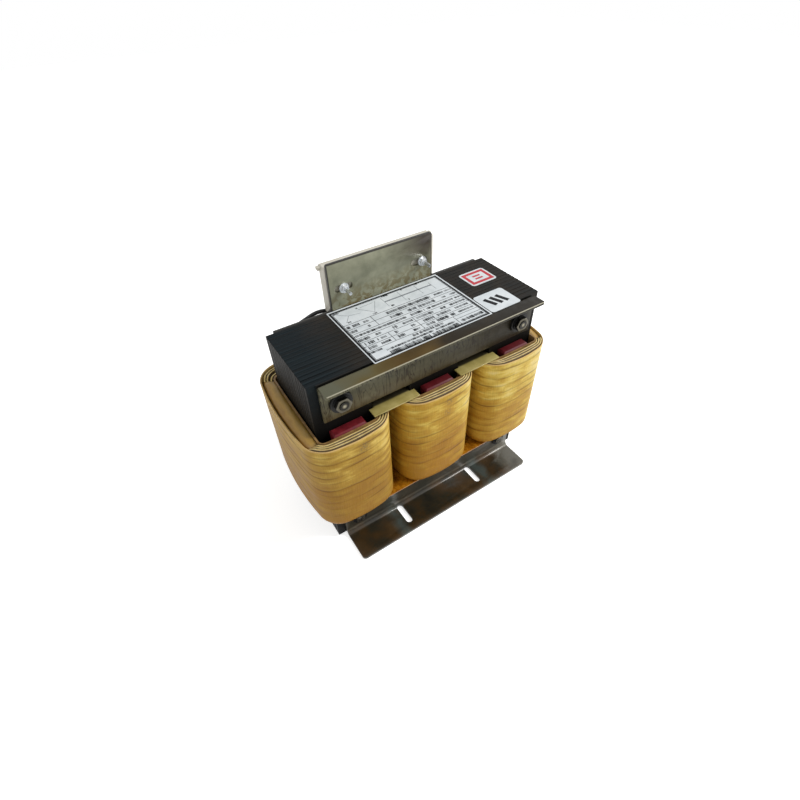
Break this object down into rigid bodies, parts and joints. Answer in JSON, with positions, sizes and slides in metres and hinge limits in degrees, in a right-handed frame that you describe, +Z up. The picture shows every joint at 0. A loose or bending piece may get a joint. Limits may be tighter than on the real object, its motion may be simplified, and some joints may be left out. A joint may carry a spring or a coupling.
{
  "type": "isolation transformer",
  "caption": "Open three-phase isolation transformer: dark laminated core, amber paper-wrapped coils, steel clamps, slotted feet and a terminal block on an upright plate.",
  "frame": {"origin": "middle of the footprint, at the underside of the foot brackets", "axes": "+X along the core and the row of coils, +Y from the clamp with the wide flange towards the terminal block, +Z up"},
  "size_m": [0.2758, 0.159, 0.2593],
  "materials": {
    "core_steel": "satin",
    "clamp_steel": "satin",
    "foot_steel": "satin",
    "zinc_steel": "satin",
    "dark_bolt_steel": "satin",
    "winding_copper": "matte",
    "amber_paper": "satin",
    "strip_paper": "matte",
    "red_fibre": "satin",
    "black_insulation": "satin",
    "block_plastic": "satin",
    "terminal_brass": "satin",
    "lead_jacket": "satin",
    "label_print": "satin"
  },
  "bodies": {
    "root": {"back_foot_bracket": "foot_steel", "back_leg_wedges": "red_fibre", "block_nuts": "zinc_steel", "block_screws": "zinc_steel", "block_washers": "zinc_steel", "bolt_sleeves": "black_insulation", "clamp_nuts": "dark_bolt_steel", "clamp_washers": "dark_bolt_steel", "core_e_stack": "core_steel", "core_i_stack": "core_steel", "front_foot_bracket": "foot_steel", "front_leg_wedges": "red_fibre", "high_voltage_leads": "lead_jacket", "insulating_collars": "black_insulation", "left_coil_tube": "amber_paper", "left_coil_wrap": "amber_paper", "left_high_voltage_winding": "winding_copper", "left_low_voltage_winding": "winding_copper", "left_winding_barrier": "amber_paper", "low_voltage_leads": "lead_jacket", "lower_barrier_sheets": "amber_paper", "lower_clamp_bolts": "dark_bolt_steel", "lower_clamp_insulation": "black_insulation", "middle_coil_tube": "amber_paper", "middle_coil_wrap": "amber_paper", "middle_high_voltage_winding": "winding_copper", "middle_low_voltage_winding": "winding_copper", "middle_winding_barrier": "amber_paper", "rating_label": "label_print", "right_coil_tube": "amber_paper", "right_coil_wrap": "amber_paper", "right_high_voltage_winding": "winding_copper", "right_low_voltage_winding": "winding_copper", "right_winding_barrier": "amber_paper", "small_sticker": "label_print", "square_sticker": "label_print", "terminal_block": "block_plastic", "terminal_clamps": "terminal_brass", "terminal_screws": "zinc_steel", "upper_back_clamp": "clamp_steel", "upper_barrier_strips": "strip_paper", "upper_clamp_bolts": "dark_bolt_steel", "upper_clamp_insulation": "black_insulation", "upper_front_clamp": "clamp_steel"}
  },
  "joints": []
}
